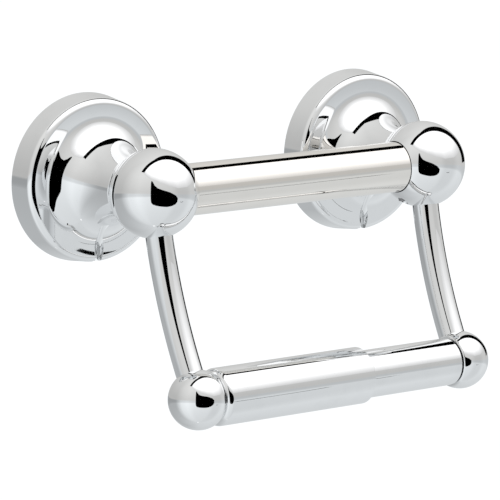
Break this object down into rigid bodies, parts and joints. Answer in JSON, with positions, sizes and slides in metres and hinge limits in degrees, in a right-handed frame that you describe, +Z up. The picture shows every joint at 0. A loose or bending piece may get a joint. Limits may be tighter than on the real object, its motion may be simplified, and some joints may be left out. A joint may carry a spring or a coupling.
{
  "type": "toilet paper holder",
  "caption": "Wall-mounted toilet paper holder in polished chrome: a round grab bar between two large balls, with curved arms holding a spring-loaded roller.",
  "frame": {"origin": "on the wall plane, midway between the two posts, at the height of the grab bar's axis", "axes": "+X along the grab bar, +Y into the wall, +Z up"},
  "size_m": [0.2198, 0.0957, 0.1327],
  "materials": {
    "chrome_plate": "polished",
    "polished_stainless": "polished",
    "bracket_zinc": "satin",
    "screw_steel": "satin",
    "spring_steel": "satin",
    "pin_nylon": "matte"
  },
  "bodies": {
    "frame": {"wall_plate_left": "bracket_zinc", "post_left": "chrome_plate", "post_set_screw_left": "screw_steel", "bar_lock_screw_left": "screw_steel", "arm_left": "chrome_plate", "arm_stud_left": "screw_steel", "knob_stud_left": "screw_steel", "knob_left": "chrome_plate", "wall_plate_right": "bracket_zinc", "post_right": "chrome_plate", "post_set_screw_right": "screw_steel", "bar_lock_screw_right": "screw_steel", "arm_right": "chrome_plate", "arm_stud_right": "screw_steel", "knob_stud_right": "screw_steel", "knob_right": "chrome_plate", "grab_bar": "polished_stainless"},
    "roller": {"roller_outer_tube": "chrome_plate", "roller_pin_left": "pin_nylon", "roller_spring": "spring_steel"},
    "roller_slider": {"roller_inner_tube": "chrome_plate", "roller_pin_right": "pin_nylon"}
  },
  "joints": [
    {"name": "roller_spin", "type": "hinge", "parent": "frame", "child": "roller", "pos_m": [0, -0.083, -0.0833], "axis": [1, 0, 0], "continuous": true},
    {"name": "roller_compress", "type": "slide", "parent": "roller", "child": "roller_slider", "axis": [1, 0, 0], "range_m": [-0.012, 0], "stiffness_N_per_m": 300, "springref_m": 0.02, "deforming": ["roller_spring"]}
  ]
}
